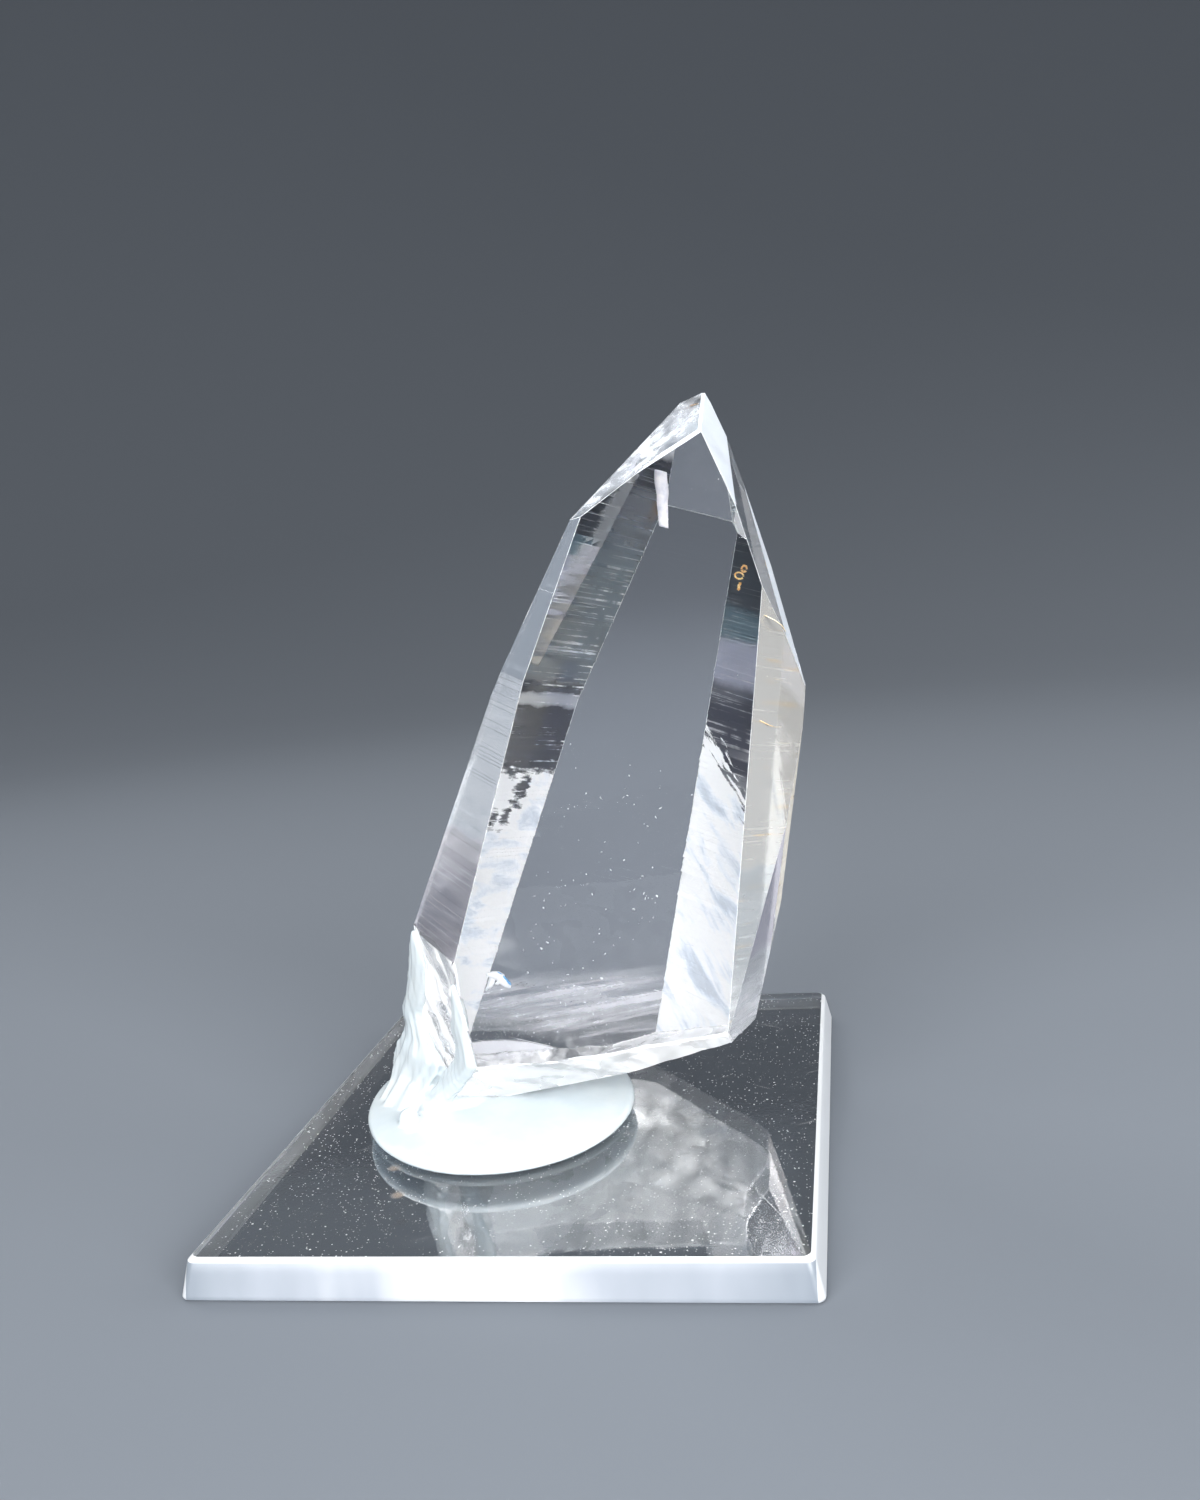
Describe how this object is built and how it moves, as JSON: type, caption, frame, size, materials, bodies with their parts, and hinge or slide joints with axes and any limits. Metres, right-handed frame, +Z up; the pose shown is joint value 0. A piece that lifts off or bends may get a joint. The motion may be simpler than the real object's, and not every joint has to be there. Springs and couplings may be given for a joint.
{
  "type": "quartz crystal point on a stand",
  "caption": "Clear tapering quartz crystal point, leaning, set in an oval pad of milky glue on a clear acrylic display plate.",
  "frame": {"origin": "middle of the bottom of the whole object's box, on the underside of the plate", "axes": "+Z up, away from the plate; the crystal's widest natural face and the plate's short front edge face -Y; the crystal leans towards +X"},
  "size_m": [0.0518, 0.0612, 0.0693],
  "materials": {
    "quartz": "clear natural faces, some finely striated, with a milky broken foot",
    "glue": "milky, glossy, slightly see-through at the rim",
    "acrylic": "clear and polished, with small scratches"
  },
  "bodies": {
    "root": {"crystal": "quartz", "glue_pad": "glue", "base_plate": "acrylic"}
  },
  "joints": []
}
